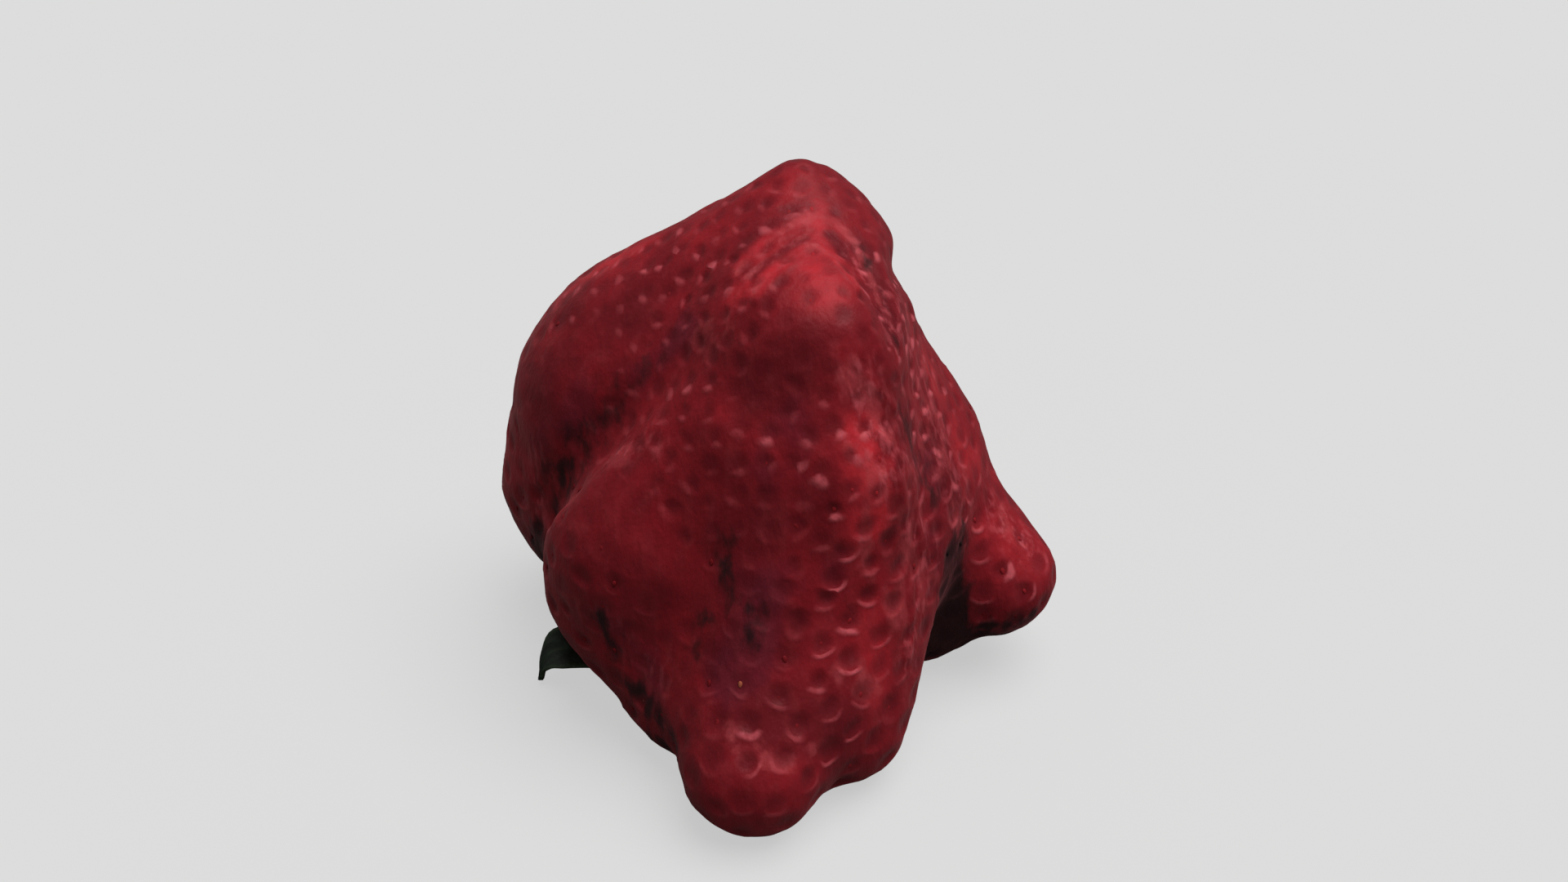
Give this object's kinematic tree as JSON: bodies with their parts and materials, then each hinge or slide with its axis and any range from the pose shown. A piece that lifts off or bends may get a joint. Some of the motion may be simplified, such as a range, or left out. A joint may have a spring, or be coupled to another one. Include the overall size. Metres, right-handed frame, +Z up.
{
  "type": "strawberry",
  "caption": "Large lobed, cockscomb strawberry standing tip up on its shoulder lobes, with pitted skin and raised achenes, a green calyx with a long sepal, and a short cut stalk beneath.",
  "frame": {"origin": "middle of the whole part's footprint box, on the surface it stands on", "axes": "+Z up to the fruit's tip, +X to the right horn, -Y to the front foot"},
  "size_m": [0.0516, 0.0464, 0.0478],
  "materials": {
    "flesh": "moist, softly glossy dark red skin, nearly black in the hollows, with paler achenes",
    "sepal": "dull dark green leaf with a lighter edge",
    "stalk": "dull yellowish green, with a pale cut end"
  },
  "bodies": {
    "root": {"fruit": "flesh", "calyx": "sepal", "stalk": "stalk"}
  },
  "joints": []
}
